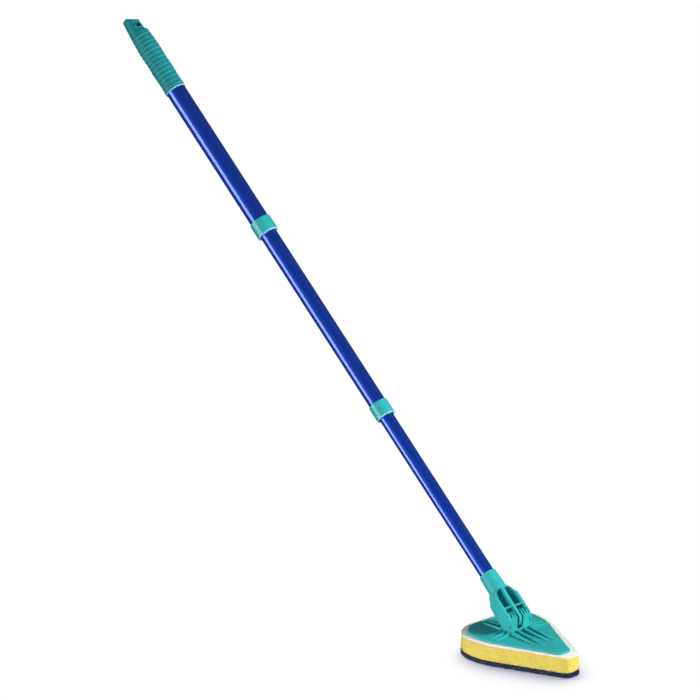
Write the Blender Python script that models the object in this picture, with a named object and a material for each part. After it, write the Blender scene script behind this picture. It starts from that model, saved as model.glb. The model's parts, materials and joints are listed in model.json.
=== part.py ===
"""Telescopic wall brush with a hinged triangular pad head.

Frame: metres, +Z up. The origin is on the pad's underside, straight below the hinge pin.
X runs along the hinge pin, -Y points to the head's narrow end, and the pole leans to +Y.
Pole pieces are modelled in a frame of their own: its origin is the hinge pin, +Z runs up
the pole, and -Y is the pole's upper side.
"""
import bmesh
import bpy
from math import asin, cos, pi, radians, sin, tan
from mathutils import Matrix, Vector

mm = 0.001

# Stance
PIN_HEIGHT = 47.5 * mm          # hinge pin above the floor
POLE_ANGLE = radians(38.8)      # pole above the floor

# General fits
TOUCH_GAP = 0.3 * mm            # between pieces that touch
PIN_GAP = 0.15 * mm             # between the hinge pin and its bores

# Pad: three bonded layers with one outline
PAD_BACK_Y = 57.3 * mm
PAD_FRONT_Y = -106.0 * mm
PAD_FRONT_HALF = 10.5 * mm      # half width of the narrow end, before rounding
PAD_SIDE_ANGLE = radians(24.3)  # each long side from the centre line
PAD_HALF_WIDTH = 58.5 * mm      # where the sides run straight back
PAD_RADII = (9.0 * mm, 87.5 * mm, 35.5 * mm)        # front, side and back corners
PAD_TURN = radians(1.5)         # the pad was pressed on by hand, a little turned
SCOURER_THICK = 6.4 * mm
FOAM_THICK = 19.8 * mm
BACKING_THICK = 1.8 * mm

# Back plate
PLATE_BACK_Y = 49.8 * mm
PLATE_FRONT_Y = -94.0 * mm
PLATE_FRONT_HALF = 8.4 * mm
PLATE_SIDE_ANGLE = radians(24.5)
PLATE_HALF_WIDTH = 51.0 * mm
PLATE_RADII = (6.5 * mm, 80.0 * mm, 28.5 * mm)
PLATE_THICK = 2.6 * mm
PLATE_EDGE = 0.8 * mm           # chamfer round the top edge
STRIP_THICK = 0.7 * mm
STRIP_POCKET = 1.0 * mm

# Lugs on the plate, each a front web with thin ears behind it
LUG_IN = 4.9 * mm
LUG_OUT = 15.0 * mm
EAR_RADIUS = 9.5 * mm
EAR_THICK = 1.8 * mm
WEB_THICK = 2.2 * mm
WEB_TOP = 5.4 * mm              # above the pin
SILL_HEIGHT = 5.0 * mm          # low wall between the two lugs

# Stiffening ribs on the plate
RIB_THICK = 1.8 * mm
FRONT_RIB_HEIGHT = 5.0 * mm
LOW_RIB_HEIGHT = 3.5 * mm
RIB_END_HEIGHT = 0.5 * mm

# Yoke
YOKE_HALF = 17.8 * mm
CHEEK_THICK = 2.4 * mm
TONGUE_HALF = 1.6 * mm
YOKE_FRONT = 10.2 * mm          # frame's front edge, from the pole's axis
YOKE_BACK = 11.6 * mm
YOKE_BACK_WAIST = 9.3 * mm
CROSS_RIB_LOW = 10.9 * mm
CROSS_RIB_THICK = 1.7 * mm
FLOOR_FRONT = 0.8 * mm
FLOOR_BACK = 1.5 * mm
FLARE_LOW = 27.5 * mm
SEAM_STEP = 0.15 * mm           # small step where two of the yoke's shapes meet
POCKET_TOP = 38.3 * mm
NECK = 42.0 * mm
NECK_RADIUS = 12.0 * mm
SOCKET_TOP = 67.0 * mm
SOCKET_RADIUS = 11.2 * mm
SOCKET_FLOOR = 44.3 * mm

# Hinge pin and socket screw
PIN_RADIUS = 2.0 * mm
PIN_HEAD_RADIUS = 3.6 * mm
PIN_HEAD_THICK = 1.4 * mm
PIN_BLIND_SKIN = 0.8 * mm
SCREW_STATION = 56.0 * mm
SCREW_RADIUS = 1.5 * mm
SCREW_HEAD_RADIUS = 3.0 * mm

# Tubes: outer radius, from, to (stations along the pole from the hinge pin)
TUBE_WALL = 0.8 * mm
UPPER_TUBE = (12.5 * mm, 596.3 * mm, 886.0 * mm)
MIDDLE_TUBE = (11.0 * mm, 311.8 * mm, 655.0 * mm)
LOWER_TUBE = (9.5 * mm, 44.6 * mm, 372.0 * mm)
COLLAR_LENGTH = 21.0 * mm
COLLAR_LIP = 2.0 * mm
COLLAR_WALL = 1.3 * mm

# Twist locks
PLUG_LENGTH = 22.0 * mm
LOCK_OFFSET = 0.6 * mm          # eccentricity of the spindle
LOCK_LENGTH = 16.0 * mm

# Grip
GRIP_FROM = 818.0 * mm
GRIP_SHOULDER = 912.6 * mm      # foot of the tab's flat, where a 45 degree ramp starts
GRIP_TO = 930.4 * mm
GRIP_RADIUS = 13.4 * mm
GRIP_SWELL = 0.2 * mm
GRIP_SWELL_PITCH = 31.0 * mm
GRIP_TAPER_FROM = 893.0 * mm
GRIP_END_RADIUS = 10.2 * mm
RIDGES = 14
RIDGE_PITCH = 6.0 * mm
RIDGE_WIDTH = 2.4 * mm
RIDGE_HEIGHT = 0.4 * mm
TAB_FLAT = 5.6 * mm             # tab's flat face, from the pole's axis
TAB_BEVEL = 4.3 * mm            # drop of the sloping end, from the axis to the flat
TAB_TURN = radians(24)          # way the flat faces, round from the pole's upper side
HANG_SLOT = (12.0 * mm, 6.4 * mm)
HANG_SLOT_STATION = 918.2 * mm

ROUND = 48                      # sides of the tubes
GRIP_SIDES = 40
FINE = 24                       # sides of the small round pieces


# ---------------------------------------------------------------- mesh helpers

def clear_scene():
    for item in list(bpy.data.objects):
        bpy.data.objects.remove(item, do_unlink=True)


def loft(rings, closed_tube=False):
    """Skin a row of rings that all have the same number of points.

    The first and last ring are capped, or joined to each other for a hollow ring.
    """
    bm = bmesh.new()
    rows = [[bm.verts.new(p) for p in ring] for ring in rings]
    count = len(rows[0])
    pairs = list(zip(rows, rows[1:]))
    if closed_tube:
        pairs.append((rows[-1], rows[0]))
    else:
        bm.faces.new(rows[0][::-1])
        bm.faces.new(rows[-1])
    for low, high in pairs:
        for i in range(count):
            j = (i + 1) % count
            bm.faces.new((low[i], low[j], high[j], high[i]))
    return outward(bm)


def outward(bm):
    bmesh.ops.recalc_face_normals(bm, faces=bm.faces)
    if bm.calc_volume(signed=True) < 0:
        bmesh.ops.reverse_faces(bm, faces=bm.faces)
    return bm


def circle(radius, z, sides=ROUND, centre=(0.0, 0.0)):
    steps = [2 * pi * i / sides for i in range(sides)]
    return [Vector((centre[0] + radius * cos(a), centre[1] + radius * sin(a), z)) for a in steps]


def turned(profile, sides=ROUND):
    """A solid turned about Z from (radius, z) points, flat at both ends."""
    return loft([circle(r, z, sides) for r, z in profile])


def sleeve(outer, inner, sides=ROUND):
    """A hollow round piece: outer profile going up, then inner profile going up."""
    rings = [circle(r, z, sides) for r, z in outer]
    rings += [circle(r, z, sides) for r, z in reversed(inner)]
    return loft(rings, closed_tube=True)


def prism(points, axis, low, high):
    """A flat outline drawn in the two other axes and extruded along one axis."""
    def at(p, depth):
        if axis == "X":
            return Vector((depth, p[0], p[1]))
        if axis == "Y":
            return Vector((p[0], depth, p[1]))
        return Vector((p[0], p[1], depth))
    return loft([[at(p, low) for p in points], [at(p, high) for p in points]])


def box(x, y, z):
    corners = [(x[0], y[0]), (x[1], y[0]), (x[1], y[1]), (x[0], y[1])]
    return prism(corners, "Z", z[0], z[1])


def cylinder_x(radius, low, high, sides=FINE):
    steps = [2 * pi * i / sides for i in range(sides)]
    return prism([(radius * cos(a), radius * sin(a)) for a in steps], "X", low, high)


def rounded(corners, radii, steps=10):
    """A polygon with each corner replaced by an arc of the given radius."""
    points = []
    count = len(corners)
    for i in range(count):
        here = Vector(corners[i])
        back = (Vector(corners[i - 1]) - here).normalized()
        ahead = (Vector(corners[(i + 1) % count]) - here).normalized()
        half = back.angle(ahead) / 2
        centre = here + (back + ahead).normalized() * (radii[i] / sin(half))
        start = here + back * (radii[i] / tan(half)) - centre
        turn = ahead.angle_signed(-back)
        for k in range(steps + 1):
            spoke = start.copy()
            spoke.rotate(Matrix.Rotation(turn * k / steps, 2))
            points.append(tuple(centre + spoke))
    return points


def node(name, bm, material, parent=None, smooth=35):
    """Turn a bmesh into a finished object, shaded smooth up to the given angle."""
    mesh = bpy.data.meshes.new(name)
    bm.to_mesh(mesh)
    bm.free()
    mesh.shade_smooth()
    mesh.set_sharp_from_angle(angle=radians(smooth))
    mesh.materials.append(material)
    item = bpy.data.objects.new(name, mesh)
    bpy.context.collection.objects.link(item)
    item.parent = parent
    return item


def combine(item, tools, operation):
    """Union or subtract closed bmeshes, one after another, and keep the plain result."""
    for tool in tools:
        mesh = bpy.data.meshes.new("tool")
        tool.to_mesh(mesh)
        tool.free()
        helper = bpy.data.objects.new("tool", mesh)
        bpy.context.collection.objects.link(helper)
        helper.parent = item.parent
        step = item.modifiers.new("step", "BOOLEAN")
        step.operation = operation
        step.solver = "EXACT"
        step.object = helper
        bpy.context.view_layer.update()
        graph = bpy.context.evaluated_depsgraph_get()
        made = bpy.data.meshes.new_from_object(item.evaluated_get(graph))
        item.modifiers.clear()
        old = item.data
        item.data = made
        made.name = item.name
        bpy.data.meshes.remove(old)
        bpy.data.objects.remove(helper, do_unlink=True)
        bpy.data.meshes.remove(mesh)


def plain(name, colour, roughness, metallic=0.0):
    material = bpy.data.materials.new(name)
    material.use_nodes = True
    shader = material.node_tree.nodes["Principled BSDF"]
    shader.inputs["Base Color"].default_value = (*colour, 1.0)
    shader.inputs["Roughness"].default_value = roughness
    shader.inputs["Metallic"].default_value = metallic
    material.diffuse_color = (*colour, 1.0)
    return material


def frame(name, height, tilt=0.0):
    """An empty that pieces hang from, on the hinge pin's centre line."""
    empty = bpy.data.objects.new(name, None)
    empty.empty_display_size = 0.03
    empty.location = (0, 0, height)
    empty.rotation_euler = (tilt, 0, 0)
    bpy.context.collection.objects.link(empty)
    bpy.context.view_layer.update()
    return empty


# ---------------------------------------------------------------- pad

def head_outline(front, back_y, half_width, angle, radii):
    """A triangle with a blunt tip and straight wide corners, all rounded.

    The front is the tip's half width and its Y; the angle is each side's, from the centre line.
    """
    front_x, front_y = front
    wide_y = front_y + (half_width - front_x) / tan(angle)
    corners = [(-front_x, front_y), (front_x, front_y), (half_width, wide_y),
               (half_width, back_y), (-half_width, back_y), (-half_width, wide_y)]
    tip, side, back = radii
    return rounded(corners, [tip, tip, side, back, back, side], 8)


def pad_outline():
    straight = head_outline((PAD_FRONT_HALF, PAD_FRONT_Y), PAD_BACK_Y, PAD_HALF_WIDTH,
                            PAD_SIDE_ANGLE, PAD_RADII)
    turn = Matrix.Rotation(PAD_TURN, 2)
    return [turn @ Vector(p) for p in straight]


def plate_outline(inset):
    tip = PLATE_FRONT_HALF + inset * (tan(PLATE_SIDE_ANGLE) - 1 / cos(PLATE_SIDE_ANGLE))
    return head_outline((tip, PLATE_FRONT_Y + inset), PLATE_BACK_Y - inset,
                        PLATE_HALF_WIDTH - inset, PLATE_SIDE_ANGLE, [r - inset for r in PLATE_RADII])


def build_pad(floor, colours):
    outline = pad_outline()
    low = 0.0
    layers = (("pad_scourer", SCOURER_THICK, colours["scourer"]),
              ("pad_foam", FOAM_THICK, colours["foam"]),
              ("pad_backing", BACKING_THICK, colours["backing"]))
    for name, thick, material in layers:
        high = low + thick
        top = high if name == "pad_backing" else high - TOUCH_GAP
        node(name, prism(outline, "Z", low, top), material, floor)
        low = high
    return low


# ---------------------------------------------------------------- back plate

def rib(start, end, height, ground):
    """A wedge-shaped rib that stands on the plate and tapers from start to end."""
    a = Vector(start)
    b = Vector(end)
    side = (b - a).orthogonal().normalized() * (RIB_THICK / 2)
    rings = []
    for point, top in ((a, height), (b, RIB_END_HEIGHT)):
        foot = ground - PLATE_THICK / 2
        rings.append([Vector((*(point - side), foot)), Vector((*(point + side), foot)),
                      Vector((*(point + side), ground + top)), Vector((*(point - side), ground + top))])
    return loft(rings)


def ear(inner_x, ground):
    """A thin upright ear, round about the pin and straight down to the plate."""
    steps = [pi * i / 24 for i in range(25)]
    outline = [(EAR_RADIUS * cos(a), EAR_RADIUS * sin(a)) for a in steps]
    outline += [(-EAR_RADIUS, ground - PLATE_THICK / 2), (EAR_RADIUS, ground - PLATE_THICK / 2)]
    return prism(outline, "X", inner_x, inner_x + EAR_THICK)


def lug_pieces(ground):
    foot = ground - PLATE_THICK / 2
    depth = (-EAR_RADIUS, -EAR_RADIUS + WEB_THICK)
    pieces = [box((-LUG_IN - WEB_THICK, LUG_IN + WEB_THICK), depth, (foot, ground + SILL_HEIGHT))]
    middle = (LUG_IN + LUG_OUT - EAR_THICK) / 2
    for side in (-1, 1):
        span = sorted((side * LUG_IN, side * LUG_OUT))
        pieces.append(box(span, depth, (foot, WEB_TOP)))
        for start in (LUG_IN, middle, LUG_OUT - EAR_THICK):
            inner_x = start if side > 0 else -start - EAR_THICK
            pieces.append(ear(inner_x, ground))
    return pieces


def rib_pieces(ground):
    pieces = []
    web_y = -EAR_RADIUS + WEB_THICK / 2
    inner = LUG_IN + RIB_THICK / 2
    outer = LUG_OUT - RIB_THICK / 2
    for side in (-1, 1):
        for x in (inner, outer):
            reach = -62.0 * mm if x == inner else -60.0 * mm
            pieces.append(rib((side * x, web_y), (side * x * 1.08, reach), FRONT_RIB_HEIGHT, ground))
            pieces.append(rib((side * x, EAR_RADIUS - 1.0 * mm), (side * x * 1.1, 43.0 * mm),
                              LOW_RIB_HEIGHT, ground))
        for start_y, end_y in ((web_y, -10.5 * mm), (-1.0 * mm, -2.0 * mm), (6.0 * mm, 7.0 * mm)):
            start = (side * (LUG_OUT - EAR_THICK / 2), start_y)
            pieces.append(rib(start, (side * 42.0 * mm, end_y), LOW_RIB_HEIGHT, ground))
    return pieces


def strip_outlines():
    """Hook strips under the plate: two at the wide end and one at the narrow end."""
    shapes = {"hook_strip_left": ((-25.0, 21.0), (24.0, 34.0)),
              "hook_strip_right": ((25.0, 21.0), (24.0, 34.0)),
              "hook_strip_front": ((0.0, -60.0), (20.0, 42.0))}
    return {name: (Vector(c) * mm, Vector(s) * mm) for name, (c, s) in shapes.items()}


def strip_prism(centre, size, grow, low, high):
    x, y = size / 2 + Vector((grow, grow))
    corners = [(centre.x + a * x, centre.y + b * y) for a, b in ((-1, -1), (1, -1), (1, 1), (-1, 1))]
    return prism(rounded(corners, [2.0 * mm + grow] * 4, 4), "Z", low, high)


def build_plate(pin_frame, pad_top, colours):
    under = pad_top + TOUCH_GAP - PIN_HEIGHT
    ground = under + PLATE_THICK
    edge = plate_outline(0.0)
    rim = plate_outline(PLATE_EDGE)
    rings = [[Vector((*p, under)) for p in edge],
             [Vector((*p, ground - PLATE_EDGE)) for p in edge],
             [Vector((*p, ground)) for p in rim]]
    plate = node("back_plate", loft(rings), colours["teal"], pin_frame)
    combine(plate, lug_pieces(ground) + rib_pieces(ground), "UNION")
    reach = LUG_OUT + 1.0 * mm
    cuts = [cylinder_x(PIN_RADIUS + PIN_GAP, -reach, reach)]
    for name, (centre, size) in strip_outlines().items():
        cuts.append(strip_prism(centre, size, TOUCH_GAP, under - 1.0 * mm, under + STRIP_POCKET))
        strip = strip_prism(centre, size, 0.0, under, under + STRIP_THICK)
        node(name, strip, colours["hooks"], pin_frame)
    combine(plate, cuts, "DIFFERENCE")


# ---------------------------------------------------------------- yoke, pin and screw

def cheek_outline():
    """Side view of the yoke's frame in (y, station), from its front, round the pin, to its back."""
    steps = 24
    points = []
    for i in range(steps + 1):
        turn = -pi / 2 + pi * i / steps
        radius = YOKE_FRONT + (YOKE_BACK - YOKE_FRONT) * i / steps
        points.append((radius * sin(turn), -radius * cos(turn)))
    return points + [(YOKE_BACK, 14.0 * mm)]


def section(half_x, front, back, power, z):
    """A squarish round section; power 2 is an ellipse and a higher power is squarer."""
    ring = []
    for i in range(ROUND):
        turn = 2 * pi * i / ROUND
        c, s = cos(turn), sin(turn)
        if power is None:
            scale = 1 / max(abs(c), abs(s))
        else:
            scale = (abs(c) ** power + abs(s) ** power) ** (-1 / power)
        ring.append(Vector((half_x * c * scale, (back + front) / 2 * s * scale + (back - front) / 2, z)))
    return ring


def yoke_body():
    """The square frame, the flare above it and the round socket, in one skin.

    The flare's lowest ring is the frame's top rectangle, with its corners an eighth,
    three eighths, five eighths and seven eighths of the way round.
    """
    rings = [section(YOKE_HALF, YOKE_FRONT, YOKE_BACK_WAIST, None, FLARE_LOW)]
    for i in range(1, 5):
        t = i / 4
        rings.append(section(YOKE_HALF + (NECK_RADIUS - YOKE_HALF) * t,
                             YOKE_FRONT + (NECK_RADIUS - YOKE_FRONT) * t,
                             YOKE_BACK_WAIST + (NECK_RADIUS - YOKE_BACK_WAIST) * t,
                             14.0 - 12.0 * t ** 0.5, FLARE_LOW + (NECK - FLARE_LOW) * t))
    rings += [circle(SOCKET_RADIUS, SOCKET_TOP - 0.6 * mm), circle(SOCKET_RADIUS - 0.5 * mm, SOCKET_TOP)]
    bm = bmesh.new()
    rows = [[bm.verts.new(p) for p in ring] for ring in rings]
    for low, high in zip(rows, rows[1:]):
        for i in range(ROUND):
            j = (i + 1) % ROUND
            bm.faces.new((low[i], low[j], high[j], high[i]))
    bm.faces.new(rows[-1])
    rim = rows[0]
    eighth = ROUND // 8
    right = [bm.verts.new((YOKE_HALF, y, z)) for y, z in cheek_outline()]
    left = [bm.verts.new((-YOKE_HALF, y, z)) for y, z in cheek_outline()]
    bm.faces.new(right + [rim[i] for i in range(eighth, -eighth - 1, -1)])
    bm.faces.new(left + [rim[i] for i in range(3 * eighth, 5 * eighth + 1)])
    bm.faces.new([right[-1], left[-1]] + [rim[i] for i in range(3 * eighth, eighth - 1, -1)])
    bm.faces.new([right[0], left[0]] + [rim[i] for i in range(5 * eighth, 7 * eighth + 1)])
    for i in range(len(right) - 1):
        bm.faces.new((right[i], left[i], left[i + 1], right[i + 1]))
    return outward(bm)


def pocket_outline(side, low, high):
    """Outline of one pocket in (x, station), a seam step narrower than the slot below it."""
    inner = TONGUE_HALF + SEAM_STEP
    wall = YOKE_HALF - CHEEK_THICK - SEAM_STEP
    points = [(inner, low), (wall, low), (wall, 26.0 * mm), (13.6 * mm, 32.0 * mm),
              (9.6 * mm, high), (inner, high)]
    return [(side * x, z) for x, z in points]


def build_yoke(pole_frame, colours):
    yoke = node("yoke", yoke_body(), colours["teal"], pole_frame)
    wall = YOKE_HALF - CHEEK_THICK
    far = 20.0 * mm
    cuts = []
    for side in (-1, 1):
        slot = sorted((side * TONGUE_HALF, side * wall))
        cuts.append(box(slot, (-far, far), (-far, CROSS_RIB_LOW)))
        front = pocket_outline(side, CROSS_RIB_LOW + CROSS_RIB_THICK, POCKET_TOP)
        cuts.append(prism(front, "Y", -far, -FLOOR_FRONT))
        back = pocket_outline(side, CROSS_RIB_LOW - 1.0 * mm, POCKET_TOP)
        cuts.append(prism(back, "Y", FLOOR_BACK, far))
    cuts.append(turned([(LOWER_TUBE[0] + TOUCH_GAP, SOCKET_FLOOR), (LOWER_TUBE[0] + TOUCH_GAP, SOCKET_TOP + far)]))
    cuts.append(cylinder_x(PIN_RADIUS + PIN_GAP, -YOKE_HALF + PIN_BLIND_SKIN, YOKE_HALF + far))
    cuts.append(screw_hole())
    combine(yoke, cuts, "DIFFERENCE")


def screw_hole():
    steps = [2 * pi * i / FINE for i in range(FINE)]
    radius = SCREW_RADIUS + TOUCH_GAP
    outline = [(radius * cos(a), SCREW_STATION + radius * sin(a)) for a in steps]
    return prism(outline, "Y", 5.0 * mm, 20.0 * mm)


def build_pin(pole_frame, colours):
    low = -YOKE_HALF + PIN_BLIND_SKIN + TOUCH_GAP
    seat = YOKE_HALF + TOUCH_GAP
    profile = [(PIN_RADIUS - 0.3 * mm, low), (PIN_RADIUS, low + 0.4 * mm), (PIN_RADIUS, seat),
               (PIN_HEAD_RADIUS, seat), (PIN_HEAD_RADIUS, seat + 0.7 * PIN_HEAD_THICK),
               (0.6 * PIN_HEAD_RADIUS, seat + PIN_HEAD_THICK)]
    bm = turned(profile, FINE)
    bmesh.ops.rotate(bm, verts=bm.verts, matrix=Matrix.Rotation(pi / 2, 3, "Y"))
    node("hinge_pin", bm, colours["steel"], pole_frame)


def build_screw(pole_frame, colours):
    """Pan-head screw through the back of the socket into the lower tube."""
    seat = (SOCKET_RADIUS + NECK_RADIUS) / 2 + TOUCH_GAP
    tip = LOWER_TUBE[0] - 3.0 * mm
    profile = [(0.5 * mm, tip), (SCREW_RADIUS, tip + 1.2 * mm), (SCREW_RADIUS, seat),
               (SCREW_HEAD_RADIUS, seat), (SCREW_HEAD_RADIUS, seat + 0.9 * mm), (1.6 * mm, seat + 1.9 * mm)]
    bm = turned(profile, FINE)
    bmesh.ops.rotate(bm, verts=bm.verts, matrix=Matrix.Rotation(-pi / 2, 3, "X"))
    bmesh.ops.translate(bm, verts=bm.verts, vec=(0, 0, SCREW_STATION))
    node("socket_screw", bm, colours["steel"], pole_frame)


# ---------------------------------------------------------------- telescopic pole

def build_tube(name, size, pole_frame, colours):
    radius, low, high = size
    inner = radius - TUBE_WALL
    bm = sleeve([(radius, low), (radius, high)], [(inner, low), (inner, high)])
    return node(name, bm, colours["blue"], pole_frame)


def build_collar(name, outer_tube, inner_tube, pole_frame, colours):
    """A sleeve over the outer tube's mouth, with a lip that guides the inner tube."""
    bore = outer_tube[0] + TOUCH_GAP
    lip = inner_tube[0] + TOUCH_GAP
    radius = bore + COLLAR_WALL
    low = outer_tube[1] - TOUCH_GAP - COLLAR_LIP
    high = low + COLLAR_LENGTH
    edge = 0.7 * mm
    outer = [(radius - edge, low), (radius, low + edge), (radius, high - edge), (radius - edge, high)]
    inner = [(lip, low), (lip, low + COLLAR_LIP), (bore, low + COLLAR_LIP), (bore, high)]
    node(name, sleeve(outer, inner), colours["teal"], pole_frame)


def build_twist_lock(name, outer_tube, inner_tube, pole_frame, colours):
    """A plug in the inner tube with an off-centre spindle, and the split ring round it."""
    bore = inner_tube[0] - TUBE_WALL
    end = inner_tube[2]
    start = end + 2.0 * mm
    stop = start + LOCK_LENGTH
    spindle = bore - 4.6 * mm
    shift = (LOCK_OFFSET, 0.0)
    plug_radius = bore - TOUCH_GAP
    flange = inner_tube[0] - 0.2 * mm
    rings = [circle(plug_radius - 0.6 * mm, end - PLUG_LENGTH), circle(plug_radius, end - PLUG_LENGTH + 1.0 * mm),
             circle(plug_radius, end + TOUCH_GAP), circle(flange, end + TOUCH_GAP), circle(flange, start),
             circle(spindle, start, centre=shift), circle(spindle, stop, centre=shift),
             circle(bore - 2.4 * mm, stop), circle(bore - 2.4 * mm, stop + 1.4 * mm),
             circle(bore - 3.2 * mm, stop + 2.0 * mm)]
    node(name + "_plug", loft(rings), colours["nylon"], pole_frame)
    outer = outer_tube[0] - TUBE_WALL - 0.5 * mm
    inner = spindle + LOCK_OFFSET + 0.5 * mm
    low, high = start + TOUCH_GAP, stop - TOUCH_GAP
    split = 1.2 * mm
    node(name + "_ring", split_ring(outer, inner, split, low, high), colours["nylon"], pole_frame)


def split_ring(outer, inner, split, low, high):
    """A C-shaped ring whose slit lies along +X."""
    def arc(radius):
        gap = asin(split / radius)
        steps = ROUND - 2
        return [gap + (2 * pi - 2 * gap) * i / steps for i in range(steps + 1)]
    outline = [(outer * cos(a), outer * sin(a)) for a in arc(outer)]
    outline += [(inner * cos(a), inner * sin(a)) for a in reversed(arc(inner))]
    return prism(outline, "Z", low, high)


# ---------------------------------------------------------------- grip

def grip_radius(z):
    """Outer radius: a slow swell along the grip, then a taper to the end."""
    taper = max(0.0, z - GRIP_TAPER_FROM) / (GRIP_TO - GRIP_TAPER_FROM)
    swell = GRIP_SWELL * cos(2 * pi * (z - GRIP_FROM) / GRIP_SWELL_PITCH)
    return GRIP_RADIUS + swell * (1 - taper) - (GRIP_RADIUS - GRIP_END_RADIUS) * taper


def grip_profile():
    """Outer profile: a lip at the mouth, even ridges, then the taper to the end."""
    points = [(GRIP_RADIUS - 0.3 * mm, GRIP_FROM), (GRIP_RADIUS + 0.5 * mm, GRIP_FROM + 0.5 * mm),
              (GRIP_RADIUS + 0.5 * mm, GRIP_FROM + 1.6 * mm)]
    for i in range(RIDGES):
        low = GRIP_FROM + 3.4 * mm + i * RIDGE_PITCH
        middle = low + RIDGE_WIDTH / 2
        high = low + RIDGE_WIDTH
        points += [(grip_radius(low), low), (grip_radius(middle) + RIDGE_HEIGHT, middle),
                   (grip_radius(high), high)]
    points += [(grip_radius(z), z) for z in (GRIP_SHOULDER - 5.0 * mm, GRIP_TO - 1.0 * mm)]
    return points + [(GRIP_END_RADIUS - 1.0 * mm, GRIP_TO)]


def about_pole(bm):
    """Turn a cutter from the pole's upper side to the way the hanging tab faces."""
    bmesh.ops.rotate(bm, verts=bm.verts, matrix=Matrix.Rotation(TAB_TURN, 3, "Z"))
    return bm


def hang_slot():
    """A long hole through the tab, square to its flat."""
    length, width = HANG_SLOT
    half = length / 2 - width / 2
    outline = []
    for side, first in ((1, pi / 2), (-1, -pi / 2)):
        for i in range(13):
            turn = first - pi * i / 12
            outline.append((side * half + width / 2 * cos(turn), HANG_SLOT_STATION + width / 2 * sin(turn)))
    return about_pole(prism(outline, "Y", -20.0 * mm, 20.0 * mm))


def build_grip(pole_frame, colours):
    grip = node("grip", turned(grip_profile(), GRIP_SIDES), colours["grip"], pole_frame)
    far = 20.0 * mm
    step = [(-TAB_FLAT, GRIP_SHOULDER), (-far, GRIP_SHOULDER - far + TAB_FLAT),
            (-far, GRIP_TO + far), (-TAB_FLAT, GRIP_TO + far)]
    face = about_pole(prism(step, "X", -far, far))
    drop = far * TAB_BEVEL / TAB_FLAT
    wedge = [(0.0, GRIP_TO), (-far, GRIP_TO - drop), (-far, GRIP_TO + far), (0.0, GRIP_TO + far)]
    bevel = about_pole(prism(wedge, "X", -far, far))
    bore = UPPER_TUBE[0] + TOUCH_GAP
    well = turned([(bore, GRIP_FROM - 5.0 * mm), (bore, UPPER_TUBE[2] + TOUCH_GAP)])
    combine(grip, [well, face, bevel, hang_slot()], "DIFFERENCE")


# ---------------------------------------------------------------- assembly

def colour_set():
    return {
        "teal": plain("teal plastic", (0.030, 0.420, 0.400), 0.38),
        "grip": plain("grip plastic", (0.018, 0.270, 0.275), 0.50),
        "blue": plain("blue paint", (0.004, 0.030, 0.280), 0.22, 0.25),
        "nylon": plain("nylon", (0.780, 0.780, 0.740), 0.45),
        "steel": plain("steel", (0.560, 0.570, 0.580), 0.30, 1.0),
        "hooks": plain("hook tape", (0.060, 0.065, 0.070), 0.90),
        "backing": plain("loop backing", (0.860, 0.820, 0.740), 0.95),
        "foam": plain("yellow foam", (0.850, 0.640, 0.110), 0.95),
        "scourer": plain("blue scourer", (0.012, 0.035, 0.160), 0.95),
    }


def main():
    clear_scene()
    colours = colour_set()
    floor = frame("pad_frame", 0.0)
    pin_frame = frame("head_frame", PIN_HEIGHT)
    pole_frame = frame("pole_frame", PIN_HEIGHT, POLE_ANGLE - pi / 2)
    pad_top = build_pad(floor, colours)
    build_plate(pin_frame, pad_top, colours)
    build_yoke(pole_frame, colours)
    build_pin(pole_frame, colours)
    build_screw(pole_frame, colours)
    lower = build_tube("lower_tube", LOWER_TUBE, pole_frame, colours)
    combine(lower, [screw_hole()], "DIFFERENCE")
    build_tube("middle_tube", MIDDLE_TUBE, pole_frame, colours)
    build_tube("upper_tube", UPPER_TUBE, pole_frame, colours)
    build_collar("lower_collar", MIDDLE_TUBE, LOWER_TUBE, pole_frame, colours)
    build_collar("upper_collar", UPPER_TUBE, MIDDLE_TUBE, pole_frame, colours)
    build_twist_lock("lower_lock", MIDDLE_TUBE, LOWER_TUBE, pole_frame, colours)
    build_twist_lock("upper_lock", UPPER_TUBE, MIDDLE_TUBE, pole_frame, colours)
    build_grip(pole_frame, colours)


main()
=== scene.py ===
"""Looks of a telescopic wall scrubber: a hinged triangular pad head on a three-part pole.

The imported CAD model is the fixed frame. The hard pieces keep their CAD shape and get finished
materials, and the three soft layers of the pad are built again in detail.
"""
import json
import random
from math import cos, pi, radians, sin

import bmesh
import bpy
from mathutils import Matrix, Vector, noise


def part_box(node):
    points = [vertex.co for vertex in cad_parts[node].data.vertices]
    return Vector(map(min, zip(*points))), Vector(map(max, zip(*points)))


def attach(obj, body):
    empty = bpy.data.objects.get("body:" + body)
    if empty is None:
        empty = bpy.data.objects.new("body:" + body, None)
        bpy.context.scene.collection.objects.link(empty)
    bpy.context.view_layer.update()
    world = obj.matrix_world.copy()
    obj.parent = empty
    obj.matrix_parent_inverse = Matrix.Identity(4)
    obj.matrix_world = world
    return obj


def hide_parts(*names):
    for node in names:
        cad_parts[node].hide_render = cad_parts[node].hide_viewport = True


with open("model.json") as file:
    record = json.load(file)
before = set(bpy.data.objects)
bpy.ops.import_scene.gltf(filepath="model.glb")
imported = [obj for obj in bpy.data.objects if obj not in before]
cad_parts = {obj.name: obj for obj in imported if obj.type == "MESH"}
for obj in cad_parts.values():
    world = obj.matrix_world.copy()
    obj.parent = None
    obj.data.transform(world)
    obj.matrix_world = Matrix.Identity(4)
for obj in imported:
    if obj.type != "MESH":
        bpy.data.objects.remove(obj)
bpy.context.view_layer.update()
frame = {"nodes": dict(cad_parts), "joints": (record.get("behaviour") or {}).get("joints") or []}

mm = 0.001
nodes = frame["nodes"]
joints = {j["name"]: j for j in frame["joints"]}
PIN = Vector(joints["head_hinge"]["pos_m"])
UP_POLE = Vector(joints["middle_slide"]["axis"]).normalized()


# ---------------------------------------------------------------- material helpers

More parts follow.
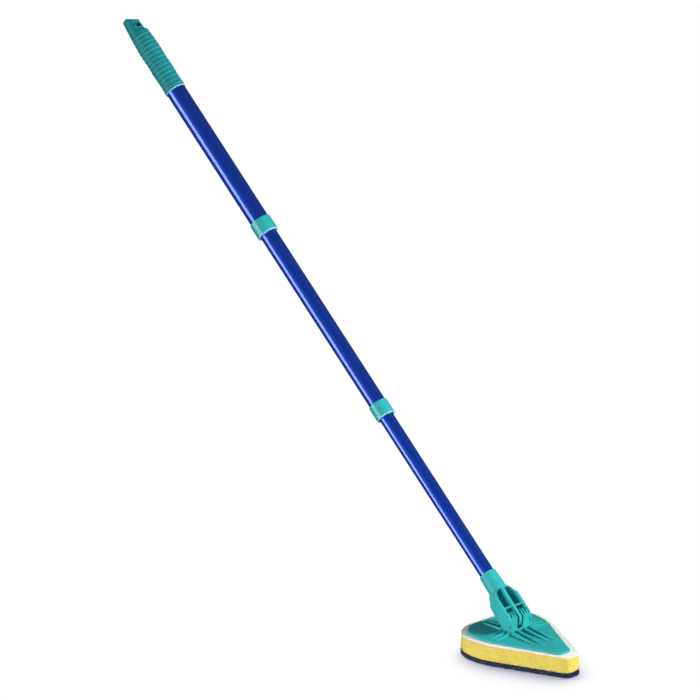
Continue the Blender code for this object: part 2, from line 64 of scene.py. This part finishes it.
def set_range(item, low, high, floor, top):
    """Make a Map Range node take low..high to floor..top."""
    for key, number in (("From Min", low), ("From Max", high), ("To Min", floor), ("To Max", top)):
        item.inputs[key].default_value = number


class Graph:
    """A Principled material with short calls for the nodes it needs."""

    def __init__(self, name):
        self.material = bpy.data.materials.new(name)
        self.material.use_nodes = True
        self.tree = self.material.node_tree
        self.shader = self.tree.nodes["Principled BSDF"]
        self.coords = self.tree.nodes.new("ShaderNodeTexCoord").outputs["Object"]

    def add(self, kind, **settings):
        item = self.tree.nodes.new("ShaderNode" + kind)
        for key, value in settings.items():
            setattr(item, key, value)
        return item

    def link(self, source, target):
        self.tree.links.new(source, target)

    def mapped(self, scale=(1, 1, 1), turn=(0, 0, 0)):
        item = self.add("Mapping", vector_type="POINT")
        item.inputs["Scale"].default_value = scale
        item.inputs["Rotation"].default_value = turn
        self.link(self.coords, item.inputs["Vector"])
        return item.outputs["Vector"]

    def noise(self, scale, detail=3.0, rough=0.5, vector=None, warp=0.0):
        item = self.add("TexNoise")
        item.inputs["Scale"].default_value = scale
        item.inputs["Detail"].default_value = detail
        item.inputs["Roughness"].default_value = rough
        item.inputs["Distortion"].default_value = warp
        self.link(vector or self.coords, item.inputs["Vector"])
        return item.outputs["Fac"]

    def cells(self, scale):
        item = self.add("TexVoronoi", feature="F1")
        item.inputs["Scale"].default_value = scale
        self.link(self.coords, item.inputs["Vector"])
        return item.outputs["Distance"]

    def ramp(self, value, stops):
        item = self.add("ValToRGB")
        edges = item.color_ramp.elements
        while len(edges) < len(stops):
            edges.new(0.5)
        for edge, (place, colour) in zip(edges, stops):
            edge.position = place
            edge.color = (*colour, 1.0)
        self.link(value, item.inputs["Fac"])
        return item.outputs["Color"]

    def level(self, value, low, high, floor=0.0, top=1.0):
        item = self.add("MapRange")
        set_range(item, low, high, floor, top)
        self.link(value, item.inputs["Value"])
        return item.outputs["Result"]

    def sum(self, first, second, operation="ADD"):
        """Two values or numbers through a Math node."""
        item = self.add("Math", operation=operation)
        for socket, value in zip(item.inputs, (first, second)):
            if isinstance(value, (int, float)):
                socket.default_value = value
            else:
                self.link(value, socket)
        return item.outputs["Value"]

    def mix(self, fac, first, second, blend="MIX"):
        item = self.add("Mix", data_type="RGBA", blend_type=blend)
        sockets = item.inputs[0], item.inputs[6], item.inputs[7]
        for socket, value in zip(sockets, (fac, first, second)):
            if isinstance(value, (int, float)):
                socket.default_value = value
            elif isinstance(value, tuple):
                socket.default_value = (*value, 1.0)
            else:
                self.link(value, socket)
        return item.outputs[2]

    def bump(self, height, strength, distance, before=None):
        item = self.add("Bump")
        item.inputs["Strength"].default_value = strength
        item.inputs["Distance"].default_value = distance
        self.link(height, item.inputs["Height"])
        if before is not None:
            self.link(before, item.inputs["Normal"])
        return item.outputs["Normal"]

    def finish(self, colour, roughness, normal, **numbers):
        """Wire up the shader. Other inputs are set by name, with _ for a space."""
        self.link(colour, self.shader.inputs["Base Color"])
        self.link(normal, self.shader.inputs["Normal"])
        if isinstance(roughness, float):
            self.shader.inputs["Roughness"].default_value = roughness
        else:
            self.link(roughness, self.shader.inputs["Roughness"])
        for key, value in numbers.items():
            self.shader.inputs[key.replace("_", " ")].default_value = value
        return self.material


def shade(colour, factor):
    return tuple(c * factor for c in colour)


def pole_turn():
    """Rotation that lays the pole's axis along the texture's Z."""
    return UP_POLE.rotation_difference(Vector((0, 0, 1))).to_euler()


# ---------------------------------------------------------------- materials

def pole_station(g):
    """Distance along the pole from the frame's origin, as a value."""
    item = g.add("VectorMath", operation="DOT_PRODUCT")
    item.inputs[1].default_value = UP_POLE
    g.link(g.coords, item.inputs[0])
    return item.outputs["Value"]


def mouth_of(name):
    """Station of a piece's lower end along the pole."""
    return min(v.co.dot(UP_POLE) for v in nodes[name].data.vertices)


def painted_lip_highlight(name):
    """Share of the thin lip at a piece's lower end, which gets a pale painted highlight."""
    mouth = mouth_of(name)

    def share(g):
        off = g.sum(g.sum(pole_station(g), mouth, "SUBTRACT"), 0.0, "ABSOLUTE")
        return g.level(off, 0.6 * mm, 1.5 * mm, 1.0, 0.0)
    return share


def painted_crest_highlight(g):
    """Share of the grip's ridges' crests, which get a pale painted highlight."""
    station = g.sum(pole_station(g), mouth_of("grip") + FIRST_CREST, "SUBTRACT")
    turns = g.sum(g.sum(station, RIDGE_PITCH, "DIVIDE"), 0.5)
    off = g.sum(g.sum(g.sum(turns, 0.0, "FRACT"), 0.5, "SUBTRACT"), 0.0, "ABSOLUTE")
    below_last = g.sum(station, LAST_CREST - FIRST_CREST + RIDGE_PITCH / 2, "LESS_THAN")
    return g.sum(g.level(off, 0.07, 0.19, 1.0, 0.0), below_last, "MULTIPLY")


def moulded(name, colour, gloss, specular, painted_highlights=(), grain=0.015):
    """Injection-moulded plastic: faint flow marks, shallow waves and a fine eggshell skin.

    Each accent is a painted highlight: a share over the surface and the colour that it brings in.
    """
    g = Graph(name)
    flow = g.noise(28, 2, 0.45, warp=0.6)
    tint = g.ramp(flow, [(0.30, shade(colour, 0.93)), (0.70, shade(colour, 1.06))])
    # Mix the painted highlights into the colour.
    for share, highlight_tint in painted_highlights:
        tint = g.mix(share(g), tint, highlight_tint)
    skin = g.noise(1900, 2, 0.6)
    waves = g.noise(90, 2, 0.5)
    rough = g.level(g.noise(160, 3), 0.25, 0.75, gloss - 0.05, gloss + 0.07)
    normal = g.bump(skin, grain, 0.05 * mm, g.bump(waves, 0.10, 0.4 * mm))
    return g.finish(tint, rough, normal, IOR=1.49, Specular_IOR_Level=specular)


def painted(name, colour):
    """Metallic enamel on drawn tube under a clear coat, with faint draw lines along the tube."""
    g = Graph(name)
    along = g.mapped(scale=(1, 1, 0.02), turn=pole_turn())
    lines = g.noise(2200, 2, 0.6, along)
    cloud = g.noise(60, 3, 0.5)
    tint = g.mix(g.level(lines, 0.35, 0.75), shade(colour, 0.90), shade(colour, 1.08))
    tint = g.mix(g.level(cloud, 0.3, 0.7, 0.0, 0.10), tint, shade(colour, 0.6))
    rough = g.level(lines, 0.3, 0.8, 0.40, 0.50)
    return g.finish(tint, rough, g.bump(lines, 0.02, 0.03 * mm), Metallic=0.50, Coat_Weight=1.0,
                    Coat_Roughness=0.04, Coat_IOR=1.6, IOR=1.5, Specular_IOR_Level=0.1)


def nylon(name):
    """Undyed nylon, with a faintly milky body."""
    g = Graph(name)
    tint = g.ramp(g.noise(120, 3), [(0.3, (0.66, 0.65, 0.59)), (0.7, (0.78, 0.77, 0.72))])
    normal = g.bump(g.noise(1500, 2), 0.12, 0.05 * mm)
    return g.finish(tint, g.level(g.noise(200, 2), 0.3, 0.7, 0.38, 0.52), normal,
                    Subsurface_Weight=0.15, Subsurface_Scale=2 * mm)


def steel(name):
    """Bright steel, brushed along X."""
    g = Graph(name)
    brushed = g.noise(900, 3, 0.6, g.mapped(scale=(0.05, 1, 1)))
    tint = g.ramp(brushed, [(0.3, (0.42, 0.43, 0.44)), (0.7, (0.66, 0.67, 0.68))])
    return g.finish(tint, g.level(brushed, 0.3, 0.7, 0.22, 0.38), g.bump(brushed, 0.15, 0.03 * mm),
                    Metallic=1.0)


def hook_tape(name):
    """Black tape, with the small hooks as pale dots."""
    g = Graph(name)
    dots = g.cells(900)
    tint = g.ramp(dots, [(0.0, (0.10, 0.10, 0.11)), (0.6, (0.025, 0.027, 0.03))])
    normal = g.bump(g.level(dots, 0.0, 0.6, 1.0, 0.0), 0.8, 0.5 * mm)
    return g.finish(tint, 0.75, normal)


def felt(name, colour):
    """Brushed loop cloth: soft clumps, tiny shadows between loops, and a pale sheen."""
    g = Graph(name)
    clumps = g.noise(260, 4, 0.6, warp=0.8)
    loops = g.noise(1500, 3, 0.7, warp=1.2)
    tint = g.ramp(clumps,
                  [(0.28, shade(colour, 0.86)), (0.52, colour), (0.78, shade(colour, 1.06))])
    tint = g.mix(g.level(loops, 0.30, 0.52, 0.30, 0.0), tint, shade(colour, 0.62))
    normal = g.bump(loops, 0.45, 0.25 * mm, g.bump(clumps, 0.30, 0.5 * mm))
    return g.finish(tint, 0.95, normal, Sheen_Weight=0.35, Sheen_Roughness=0.5)


def foam(name, colour, deep):
    """Open-cell polyurethane: round pores of mixed size with painted shade inside, on a mottled
    base.
    """
    g = Graph(name)
    small = g.cells(1500)
    large = g.cells(560)
    pores = g.sum(g.level(small, 0.05, 0.32), g.level(large, 0.04, 0.24), "MULTIPLY")
    mottled = g.ramp(g.noise(430, 3, 0.6, warp=0.4),
                     [(0.32, shade(deep, 1.32)), (0.47, colour), (0.70, shade(colour, 1.12))])
    broad = g.ramp(g.noise(60, 3, 0.5), [(0.32, (0.93, 0.89, 0.78)), (0.58, (1.0, 1.0, 1.0))])
    tint = g.mix(1.0, mottled, broad, "MULTIPLY")
    # Painted shade inside the pores.
    tint = g.mix(g.level(pores, 0.0, 1.0, 0.50, 0.0), tint, deep)
    normal = g.bump(pores, 0.50, 0.30 * mm, g.bump(g.noise(2400, 2), 0.20, 0.10 * mm))
    return g.finish(tint, 0.92, normal, Subsurface_Weight=0.15, Subsurface_Scale=1.5 * mm,
                    Sheen_Weight=0.10)


def fibre_mat(name, dark, light):
    """Coarse non-woven scouring fibre: tangled streaks, painted shade in the gaps and pale mineral
    specks.
    """
    g = Graph(name)
    tangle = g.noise(420, 5, 0.65, warp=3.5)
    strands = g.noise(1300, 3, 0.6, warp=6.0)
    specks = g.cells(270)
    # The darkest stop is painted shade in the gaps between fibres.
    tint = g.ramp(tangle, [(0.34, shade(dark, 0.35)), (0.50, dark), (0.72, light)])
    tint = g.mix(g.level(strands, 0.45, 0.75, 0.0, 0.5), tint, light)
    tint = g.mix(g.level(specks, 0.10, 0.20, 0.85, 0.0), tint, (0.22, 0.31, 0.58))
    normal = g.bump(strands, 0.8, 0.4 * mm, g.bump(tangle, 0.7, 0.9 * mm))
    return g.finish(tint, 0.85, normal)


TEAL = (0.026, 0.410, 0.415)
GRIP_TEAL = (0.012, 0.230, 0.250)
BLUE = (0.0010, 0.042, 0.380)
CREAM = (0.86, 0.83, 0.74)
YELLOW = (0.82, 0.66, 0.125)
YELLOW_DEEP = (0.62, 0.42, 0.045)
NAVY = (0.004, 0.009, 0.034)
NAVY_LIGHT = (0.013, 0.042, 0.145)
FIBRE_DARK = (0.010, 0.022, 0.075)
FIBRE_PALE = (0.110, 0.160, 0.330)
# Pale teal painted on the collar and grip lips as a highlight.
LIP_HIGHLIGHT_TEAL = (0.30, 0.66, 0.68)
# Paler teal painted on the grip's ridge crests as a highlight.
CREST_HIGHLIGHT_TEAL = (0.040, 0.345, 0.365)
FIRST_CREST = 4.6 * mm
LAST_CREST = 82.6 * mm
RIDGE_PITCH = 6.0 * mm
EDGE_ROUND = 0.30 * mm
SHARP_EDGE = radians(35)

plastic = moulded("teal_moulding", TEAL, 0.48, 0.25)
# Painted lip highlights on the collars' lower ends.
collar_lip_highlights = [(painted_lip_highlight("upper_collar"), LIP_HIGHLIGHT_TEAL), (painted_lip_highlight("lower_collar"), LIP_HIGHLIGHT_TEAL)]
# Painted highlights on the grip's ridge crests and on its lip.
grip_highlights = [(painted_crest_highlight, CREST_HIGHLIGHT_TEAL), (painted_lip_highlight("grip"), LIP_HIGHLIGHT_TEAL)]
collar_plastic = moulded("collar_moulding", TEAL, 0.32, 0.5, collar_lip_highlights)
grip_plastic = moulded("grip_moulding", GRIP_TEAL, 0.42, 0.06, grip_highlights, grain=0.004)
paint = painted("blue_enamel", BLUE)
natural = nylon("natural_nylon")
bright_steel = steel("bright_steel")
hooks = hook_tape("hook_tape")
loop_cloth = felt("loop_cloth", CREAM)
yellow_foam = foam("yellow_foam", YELLOW, YELLOW_DEEP)
blue_fibre = fibre_mat("blue_fibre", NAVY, NAVY_LIGHT)
fibre_ends = fibre_mat("fibre_ends", FIBRE_DARK, FIBRE_PALE)

FINISH = {
    "grip": grip_plastic,
    "upper_tube": paint, "middle_tube": paint, "lower_tube": paint,
    "upper_collar": collar_plastic, "lower_collar": collar_plastic,
    "upper_lock_plug": natural, "lower_lock_plug": natural,
    "upper_lock_ring": natural, "lower_lock_ring": natural,
    "yoke": plastic, "back_plate": plastic,
    "hinge_pin": bright_steel, "socket_screw": bright_steel,
    "hook_strip_left": hooks, "hook_strip_right": hooks, "hook_strip_front": hooks,
}


def dress(item, material):
    item.data.materials.clear()
    item.data.materials.append(material)


def soften(item, width):
    """Round a moulding's sharp edges, once its split corners are merged."""
    weld = item.modifiers.new("weld", "WELD")
    weld.merge_threshold = 0.01 * mm
    edge = item.modifiers.new("edge", "BEVEL")
    edge.width = width
    edge.segments = 2
    edge.limit_method = "ANGLE"
    edge.angle_limit = SHARP_EDGE
    edge.use_clamp_overlap = False
    normals = item.modifiers.new("normals", "WEIGHTED_NORMAL")
    normals.mode = "FACE_AREA"


for name, material in FINISH.items():
    dress(nodes[name], material)
for name in ("back_plate", "yoke", "upper_collar", "lower_collar"):
    soften(nodes[name], EDGE_ROUND)


# ---------------------------------------------------------------- pad shapes

CORNER_SOFTNESS = 2.0 * mm
FACE_UP = 0.6
BACKING_INSETS = (1.2, 1.9, 2.6, 3.4, 4.2, 5.0, 5.8, 6.6, 7.6, 9.0)
FIBRE_STEPS = 4
FIBRE_SIDES = 3


def outline_of(name, spacing):
    """The CAD node's outline seen from above, as evenly spaced points with inward normals.

    The corners are softened, as on a pad that was cut from a soft sheet.
    """
    found = {(round(v.co.x, 6), round(v.co.y, 6)) for v in nodes[name].data.vertices}
    centre = sum((Vector(p) for p in found), Vector((0, 0))) / len(found)
    ring = [Vector(p) for p in found]
    ring.sort(key=lambda p: (p - centre).angle_signed(Vector((1, 0))))
    steps = [(ring[(i + 1) % len(ring)] - p).length for i, p in enumerate(ring)]
    count = round(sum(steps) / spacing)
    points = []
    index, walked = 0, 0.0
    for k in range(count):
        target = sum(steps) * k / count
        while walked + steps[index] < target:
            walked += steps[index]
            index += 1
        share = (target - walked) / steps[index]
        points.append(ring[index].lerp(ring[(index + 1) % len(ring)], share))
    for _ in range(round(2 * (CORNER_SOFTNESS / spacing) ** 2)):
        points = [(points[i - 1] + 2 * p + points[(i + 1) % count]) / 4
                  for i, p in enumerate(points)]
    inward = []
    for i in range(count):
        along = points[(i + 1) % count] - points[i - 1]
        side = Vector((-along.y, along.x)).normalized()
        if side.dot(centre - points[i]) < 0:
            side.negate()
        inward.append(side)
    return points, inward


def as_pad_piece(name, bm, material):
    """Turn finished mesh data into a piece that moves with the pad."""
    mesh = bpy.data.meshes.new(name)
    bm.to_mesh(mesh)
    bm.free()
    mesh.shade_smooth()
    item = bpy.data.objects.new(name, mesh)
    bpy.context.scene.collection.objects.link(item)
    dress(item, material)
    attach(item, "pad")
    return item


def layer(name, outline, profile, cap_steps, relief, material):
    """A closed soft layer: the profile's (inset, height) rows run from the underside's edge to
    the top's edge, and both faces are filled with rings that shrink to the middle."""
    points, inward = outline
    count = len(points)
    middle = sum(points, Vector((0, 0))) / count
    low, high = profile[0], profile[-1]

    def ring(inset, height, shrink=0.0):
        made = []
        for p, n in zip(points, inward):
            flat = (p + n * inset).lerp(middle, shrink)
            made.append(Vector((flat.x, flat.y, height)))
        return made

    rings = [ring(*low, shrink=s) for s in reversed(cap_steps)]
    rings += [ring(inset, height) for inset, height in profile]
    rings += [ring(*high, shrink=s) for s in cap_steps]
    bm = bmesh.new()
    rows = [[bm.verts.new(p) for p in r] for r in rings]
    for a, b in zip(rows, rows[1:]):
        for i in range(count):
            j = (i + 1) % count
            bm.faces.new((a[i], a[j], b[j], b[i]))
    for row, z in ((rows[0], low[1]), (rows[-1], high[1])):
        tip = bm.verts.new((middle.x, middle.y, z))
        for i in range(count):
            bm.faces.new((row[i], row[(i + 1) % count], tip))
    bmesh.ops.recalc_face_normals(bm, faces=bm.faces)
    bm.normal_update()
    moves = [(v, v.normal * relief(v.co, v.normal)) for v in bm.verts]
    for v, move in moves:
        v.co += move
    return as_pad_piece(name, bm, material)


def fluff(point, size, seed=0.0):
    """Smooth random value in space, with features of a given size."""
    return noise.noise(point / size + Vector((seed, seed * 0.7, -seed)))


def rounded_side(low, high, edge, bulge, rows):
    """(inset, height) rows of a side with rounded edges and a slight belly."""
    made = []
    for i in range(rows + 1):
        t = i / rows
        height = low + (high - low) * t
        near = min(height - low, high - height)
        corner = max(0.0, 1 - near / edge)
        made.append((edge * (1 - (1 - corner ** 2) ** 0.5) - bulge * sin(pi * t), height))
    return made


def build_foam():
    """The yellow layer, with pits in its cut side."""
    low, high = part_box("pad_foam")
    outline = outline_of("pad_foam", 0.8 * mm)
    profile = rounded_side(low.z, high.z, 0.6 * mm, 0.25 * mm, 26)

    def relief(p, n):
        pit = noise.voronoi(p / (1.7 * mm))[0][0]
        rough = fluff(p, 0.9 * mm) * 0.07 * mm + fluff(p, 9 * mm, 3.1) * 0.16 * mm
        return rough - max(0.0, 0.30 - pit) * 0.9 * mm if abs(n.z) < FACE_UP else 0.0

    item = layer("foam_layer", outline, profile, (0.03, 0.10, 0.3, 0.6), relief, yellow_foam)
    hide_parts("pad_foam")


def build_backing():
    """The cream loop layer, whose pile stops just under the plate."""
    low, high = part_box("pad_backing")
    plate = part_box("back_plate")[0]
    outline = outline_of("pad_backing", 1.0 * mm)
    profile = rounded_side(low.z, high.z, 0.75 * mm, 0.15 * mm, 8)
    profile += [(inset * mm, high.z) for inset in BACKING_INSETS]

    def relief(p, n):
        pile = fluff(p, 1.3 * mm) * 0.16 * mm + fluff(p, 5 * mm, 2.0) * 0.12 * mm
        return min(pile, plate.z - high.z - 0.05 * mm) if n.z > -0.3 else 0.0

    item = layer("loop_layer", outline, profile, (0.06, 0.2, 0.5), relief, loop_cloth)
    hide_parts("pad_backing")


def build_scourer():
    """The dark blue layer, rough on its side and its scrubbing face."""
    low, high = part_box("pad_scourer")
    outline = outline_of("pad_scourer", 0.9 * mm)
    profile = rounded_side(low.z, high.z, 0.9 * mm, 0.1 * mm, 9)

    def relief(p, n):
        if n.z < -FACE_UP:
            return -abs(fluff(p, 1.6 * mm)) * 0.5 * mm
        if n.z > FACE_UP:
            return 0.0
        return fluff(p, 1.5 * mm) * 0.8 * mm + fluff(p, 4 * mm, 5.0) * 0.6 * mm

    caps = tuple(0.02 * i for i in range(1, 50))
    item = layer("scouring_layer", outline, profile, caps, relief, blue_fibre)
    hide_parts("pad_scourer")


def strands(name, starts, length, thick, curl, material, seed, floor):
    """Loose fibres as thin closed three-sided tubes, each a short wandering curve."""
    dice = random.Random(seed)
    bm = bmesh.new()
    for start, normal in starts(dice):
        tangent = normal.orthogonal().normalized()
        tangent.rotate(Matrix.Rotation(dice.uniform(0, 2 * pi), 3, normal))
        heading = (tangent + normal * dice.uniform(0.0, 0.7)).normalized()
        point = start.copy()
        reach = length * dice.uniform(0.5, 1.2) / FIBRE_STEPS
        path = [point.copy()]
        for _ in range(FIBRE_STEPS):
            heading = (heading + Vector([dice.uniform(-curl, curl) for _ in range(3)])
                       - normal * 0.18).normalized()
            point = point + heading * reach
            point.z = max(point.z, floor + thick)
            path.append(point.copy())
        rings = []
        for k, p in enumerate(path):
            ahead = (path[min(k + 1, FIBRE_STEPS)] - path[max(k - 1, 0)]).normalized()
            side = ahead.orthogonal().normalized()
            width = thick * (1.0 if 0 < k < FIBRE_STEPS else 0.55)
            ring = []
            for c in range(FIBRE_SIDES):
                spoke = side.copy()
                spoke.rotate(Matrix.Rotation(2 * pi * c / FIBRE_SIDES, 3, ahead))
                ring.append(bm.verts.new(p + spoke * width))
            rings.append(ring)
        bm.faces.new(rings[0][::-1])
        bm.faces.new(rings[-1])
        for a, b in zip(rings, rings[1:]):
            for i in range(FIBRE_SIDES):
                j = (i + 1) % FIBRE_SIDES
                bm.faces.new((a[i], a[j], b[j], b[i]))
    return as_pad_piece(name, bm, material)


def rim_starts(node, count, low, high, inset):
    """Random places on the side of a pad layer, with the outward direction there."""
    points, inward = outline_of(node, 1.0 * mm)

    def give(dice):
        for _ in range(count):
            i = dice.randrange(len(points))
            flat = points[i] + inward[i] * inset
            yield (Vector((flat.x, flat.y, dice.uniform(low, high))),
                   Vector((-inward[i].x, -inward[i].y, dice.uniform(-0.2, 0.3))).normalized())
    return give


def build_fibres():
    """Loose ends along the rims of the scouring layer and the loop layer."""
    low, high = (corner.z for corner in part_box("pad_scourer"))
    starts = rim_starts("pad_scourer", 2400, low + 0.4 * mm, high + 1.0 * mm, 0.1 * mm)
    scouring = strands("scouring_fibres", starts, length=3.2 * mm, thick=0.20 * mm, curl=0.60,
                       material=fibre_ends, seed=11, floor=low)
    low, high = (corner.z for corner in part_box("pad_backing"))
    starts = rim_starts("pad_backing", 1500, low + 0.2 * mm, high, 0.1 * mm)
    loops = strands("loop_fibres", starts, length=0.8 * mm, thick=0.035 * mm, curl=0.9,
                    material=loop_cloth, seed=12, floor=low)


build_foam()
build_backing()
build_scourer()
build_fibres()


# ---------------------------------------------------------------- floor, light and camera

VIEW_TURN = radians(-41.54)
VIEW_RISE = radians(22.38)
VIEW_WIDTH = 868.9 * mm
LENS = 1500.0
SENSOR = 36.0
AIM_LEFT = 0.2053
AIM_UP = 0.3317
FLOOR_HALF = 40.0
SHADOW_REACH = 0.075
SHADOW_LEAN = (0.30, 0.42, 0.86)
AMBIENT_ABOVE = 0.18
AMBIENT_BELOW = 0.15
GLOSS_ABOVE = 0.10
GLOSS_TABLE = 1.2
FLOOR_WHITE = (1.0, 1.0, 1.0)
FLOOR_SHADOW = (0.34, 0.34, 0.46)
BACK = Vector((sin(VIEW_TURN) * cos(VIEW_RISE), -cos(VIEW_TURN) * cos(VIEW_RISE), sin(VIEW_RISE)))
RIGHT = Vector((cos(VIEW_TURN), sin(VIEW_TURN), 0.0))
UP = BACK.cross(RIGHT)


def floor_mat():
    """White paper lit evenly, with a soft shadow close to whatever stands on it."""
    g = Graph("pale_floor")
    near = g.add("AmbientOcclusion", samples=12)
    near.inputs["Distance"].default_value = SHADOW_REACH
    tilt = g.add("CombineXYZ")
    for axis, value in zip("XYZ", SHADOW_LEAN):
        tilt.inputs[axis].default_value = value
    g.link(tilt.outputs["Vector"], near.inputs["Normal"])
    open_sky = g.level(near.outputs["AO"], 0.30, 0.84)
    glow = g.add("Emission")
    g.link(g.mix(open_sky, FLOOR_SHADOW, FLOOR_WHITE), glow.inputs["Color"])
    g.link(glow.outputs["Emission"], g.tree.nodes["Material Output"].inputs["Surface"])
    return g.material


def build_floor():
    """A wide plain floor just under the pad, which only the camera sees."""
    mesh = bpy.data.meshes.new("floor")
    bm = bmesh.new()
    corners = ((-1, -1), (1, -1), (1, 1), (-1, 1))
    bm.faces.new([bm.verts.new((x * FLOOR_HALF, y * FLOOR_HALF, 0.0)) for x, y in corners])
    bm.to_mesh(mesh)
    bm.free()
    item = bpy.data.objects.new("floor", mesh)
    bpy.context.scene.collection.objects.link(item)
    dress(item, floor_mat())
    item.location.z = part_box("pad_scourer")[0].z - 0.05 * mm
    item.visible_glossy = False
    item.visible_diffuse = False


def area_light(name, centre, direction, distance, size, strength, diffuse=True, glossy=True,
               along=None):
    """A soft light that shines on a point from a direction; strength is the light it gives there.

    Its long side may lie along a given direction, and it may act only on diffuse or glossy rays.
    """
    away = Vector(direction).normalized()
    lamp = bpy.data.lights.new(name, "AREA")
    lamp.shape = "ELLIPSE" if along is None else "RECTANGLE"
    lamp.size, lamp.size_y = size
    lamp.energy = strength * pi * pi * distance ** 2
    item = bpy.data.objects.new(name, lamp)
    guide = Vector(along or (0, 0, 1))
    long_side = (guide - away * away.dot(guide)).normalized()
    turned = Matrix((long_side.cross(away), long_side, away)).transposed().to_4x4()
    item.matrix_world = Matrix.Translation(Vector(centre) + away * distance) @ turned
    item.visible_diffuse = diffuse
    item.visible_glossy = glossy
    bpy.context.scene.collection.objects.link(item)


def build_world():
    """White behind the object, a soft even light from above, less from below, and in the gloss
    a dim room above and a bright table in front."""
    world = bpy.data.worlds.new("studio")
    world.use_nodes = True
    tree = world.node_tree
    sky = tree.nodes["Background"]

    def math_node(operation, *values):
        item = tree.nodes.new("ShaderNodeMath")
        item.operation = operation
        for socket, value in zip(item.inputs, values):
            if isinstance(value, (int, float)):
                socket.default_value = value
            else:
                tree.links.new(value, socket)
        return item.outputs["Value"]

    path = tree.nodes.new("ShaderNodeLightPath").outputs
    way = tree.nodes.new("ShaderNodeTexCoord").outputs["Generated"]
    parts = tree.nodes.new("ShaderNodeSeparateXYZ")
    tree.links.new(way, parts.inputs[0])

    def ranged(axis, low, high, floor, top):
        item = tree.nodes.new("ShaderNodeMapRange")
        set_range(item, low, high, floor, top)
        tree.links.new(parts.outputs[axis], item.inputs["Value"])
        return item.outputs["Result"]

    overhead = ranged("Z", 0.12, 0.50, 0.015, GLOSS_ABOVE)
    table = math_node("MULTIPLY", ranged("Z", -0.35, -0.10, GLOSS_TABLE, 0.0),
                      ranged("Y", -0.45, 0.10, 1.0, 0.0))
    dull = math_node("SUBTRACT", 1.0, path["Is Glossy Ray"])
    soft = math_node("MULTIPLY", ranged("Z", -0.2, 0.3, AMBIENT_BELOW, AMBIENT_ABOVE), dull)
    gloss = math_node("MULTIPLY", path["Is Glossy Ray"], math_node("ADD", overhead, table))
    total = math_node("MAXIMUM", math_node("ADD", soft, gloss), path["Is Camera Ray"])
    tree.links.new(total, sky.inputs["Strength"])
    sky.inputs["Color"].default_value = (1.0, 1.0, 1.0, 1.0)
    bpy.context.scene.world = world


def build_light():
    """A key, its wide sheen, a fill from the left, and a strip along the pole for its highlight."""
    build_world()
    middle = (0.0, 0.1, 0.10)
    key_way = (0.62, -0.65, 0.45)
    area_light("key", middle, key_way, 2.6, (1.1, 1.1), 1.45, glossy=False)
    area_light("key_sheen", middle, key_way, 2.6, (1.7, 1.7), 0.50, diffuse=False)
    area_light("fill", middle, (-0.94, -0.30, 0.13), 2.6, (1.0, 1.0), 0.88)
    area_light("strip", (0.0, 0.34, 0.32), (-0.884, 0.440, -0.030), 1.6, (0.95, 2.8), 2.00,
               diffuse=False, along=UP_POLE)
    bpy.context.scene.view_settings.view_transform = "Standard"


def build_camera():
    """A very long lens at the viewing angle, aimed left of and above the hinge pin."""
    lens = bpy.data.cameras.new("camera")
    lens.lens = LENS
    lens.sensor_width = SENSOR
    lens.clip_start = 0.1
    lens.clip_end = 200.0
    item = bpy.data.objects.new("camera", lens)
    target = PIN - RIGHT * AIM_LEFT + UP * AIM_UP
    distance = VIEW_WIDTH * LENS / SENSOR
    item.matrix_world = (Matrix.Translation(target + BACK * distance)
                         @ Matrix((RIGHT, UP, BACK)).transposed().to_4x4())
    bpy.context.scene.collection.objects.link(item)
    bpy.context.scene.camera = item


build_floor()
build_light()
build_camera()
